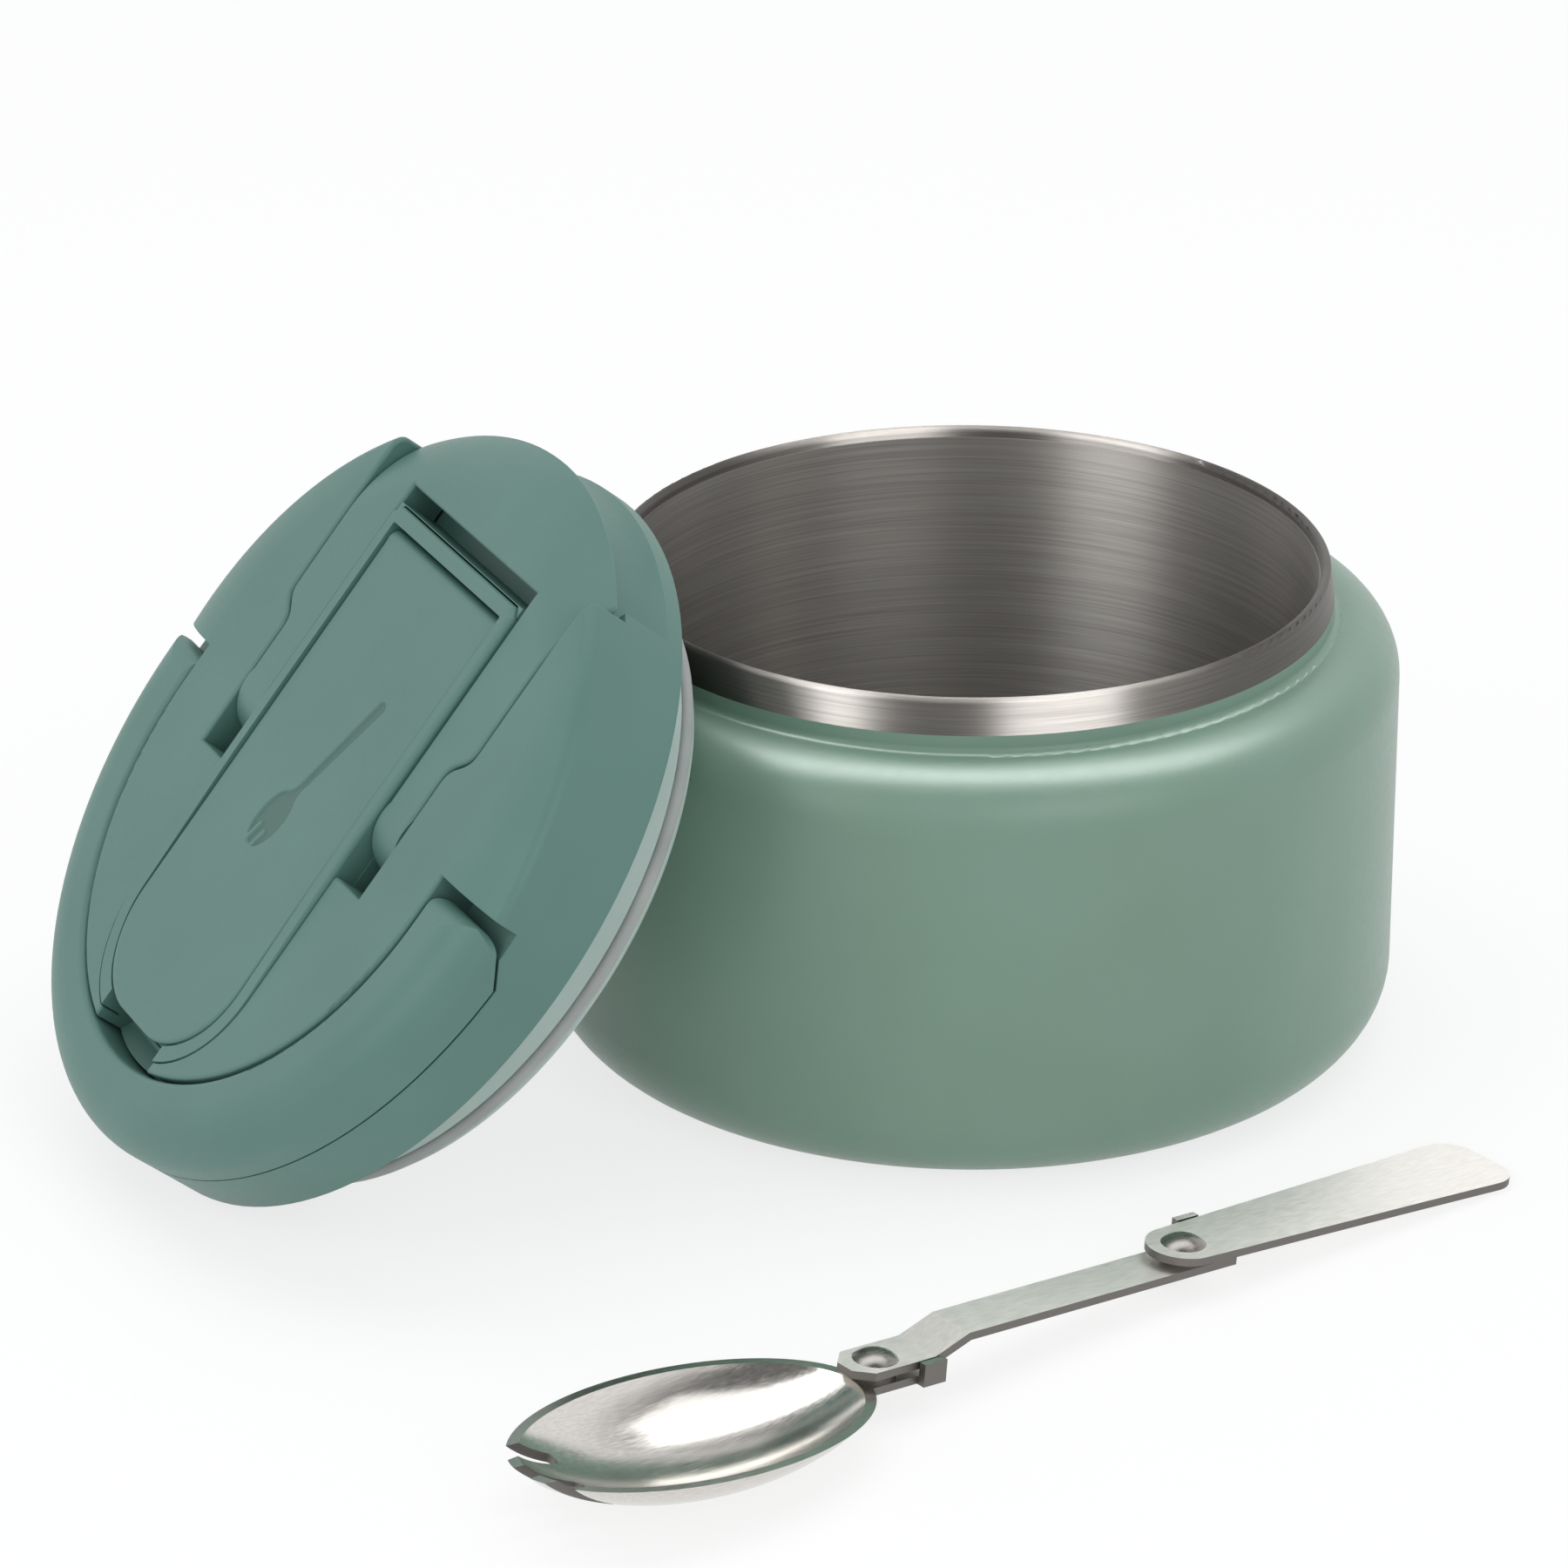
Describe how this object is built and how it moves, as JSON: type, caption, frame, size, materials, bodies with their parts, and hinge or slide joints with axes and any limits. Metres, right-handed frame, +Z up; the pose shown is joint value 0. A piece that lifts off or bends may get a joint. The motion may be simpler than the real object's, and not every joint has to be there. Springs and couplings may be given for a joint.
{
  "type": "insulated food jar",
  "caption": "Wide insulated steel food jar with a plug lid leaning on it: locking lever, folding carry handle, hinged pocket cover and a folding spork beside it.",
  "frame": {"origin": "centre of the jar's foot, on the surface it stands on", "axes": "+Z up along the jar's axis; the spork lies towards -Y and the lid leans on the -X side"},
  "size_m": [0.2163, 0.236, 0.1009],
  "materials": {
    "painted_steel": "satin powder coat, sage green",
    "bare_steel": "brushed stainless steel",
    "liner_steel": "satin stainless steel",
    "lid_plastic": "fine matt moulded polypropylene, deep sage",
    "plug_plastic": "smooth moulded polypropylene, pale sage",
    "silicone": "translucent silicone",
    "foam": "rigid insulating foam",
    "pin_steel": "plain stainless steel",
    "spork_steel": "satin stainless steel",
    "getter": "sintered getter metal"
  },
  "bodies": {
    "jar": {"outer_shell": "painted_steel", "base_plate": "bare_steel", "inner_liner": "liner_steel", "rim_collar": "bare_steel", "vacuum_getter": "getter"},
    "hinge_pins": {"handle_pins": "pin_steel"},
    "lid": {"lid_cap": "lid_plastic", "inner_lid": "plug_plastic", "lid_foam": "foam", "foot_disc": "plug_plastic", "seal_ring": "silicone", "pocket_tray": "lid_plastic", "cover_pin": "pin_steel", "lever_pins": "pin_steel"},
    "presser": {"presser": "plug_plastic", "push_rods": "pin_steel"},
    "lever": {"lock_lever": "lid_plastic"},
    "cover": {"pocket_cover": "lid_plastic"},
    "handle": {"carry_handle": "lid_plastic"},
    "spork": {"spork_link": "spork_steel", "front_rivet": "spork_steel", "rear_rivet": "spork_steel", "front_washer": "spork_steel", "rear_washer": "spork_steel"},
    "bowl": {"spork_bowl": "spork_steel"},
    "grip": {"spork_grip": "spork_steel"}
  },
  "joints": [
    {"name": "lid_swing", "type": "hinge", "parent": "jar", "child": "hinge_pins", "pos_m": [-0.05217, -0.02433, 0.08455], "axis": [-0.4226, 0.9063, 0], "range_deg": [0, 214.2]},
    {"name": "lid_level", "type": "hinge", "parent": "hinge_pins", "child": "lid", "pos_m": [-0.09611, -0.04482, 0.05523], "axis": [-0.4226, 0.9063, 0], "range_deg": [-163.61, 0]},
    {"name": "handle_fold", "type": "hinge", "parent": "lid", "child": "handle", "pos_m": [-0.09611, -0.04482, 0.05523], "axis": [-0.4226, 0.9063, 0], "range_deg": [0, 90]},
    {"name": "cover_open", "type": "hinge", "parent": "lid", "child": "cover", "pos_m": [-0.07663, -0.03574, 0.0843], "axis": [-0.4226, 0.9063, 0], "range_deg": [0, 95]},
    {"name": "presser_rise", "type": "slide", "parent": "lid", "child": "presser", "axis": [-0.7003, -0.3266, 0.6347], "range_m": [0, 0.00151]},
    {"name": "lever_lift", "type": "hinge", "parent": "lid", "child": "lever", "pos_m": [-0.08975, -0.04185, 0.05724], "axis": [0.4226, -0.9063, 0], "range_deg": [0, 75]},
    {"name": "spork_lift", "type": "slide", "parent": "jar", "child": "spork", "axis": [0, 0, 1], "range_m": [0, 0.06]},
    {"name": "bowl_fold", "type": "hinge", "parent": "spork", "child": "bowl", "pos_m": [-0.0155, -0.1285, 0.00512], "axis": [-0.0731, -0.0592, -0.9956], "range_deg": [0, 180]},
    {"name": "grip_fold", "type": "hinge", "parent": "spork", "child": "grip", "pos_m": [0.02852, -0.09285, -0.00023], "axis": [-0.0731, -0.0592, -0.9956], "range_deg": [0, 180]}
  ],
  "couplings": [
    {"joint": "lid_level", "follows": "lid_swing", "ratio": -0.76377},
    {"joint": "presser_rise", "follows": "lever_lift", "m_per_rad": 0.0011459}
  ]
}
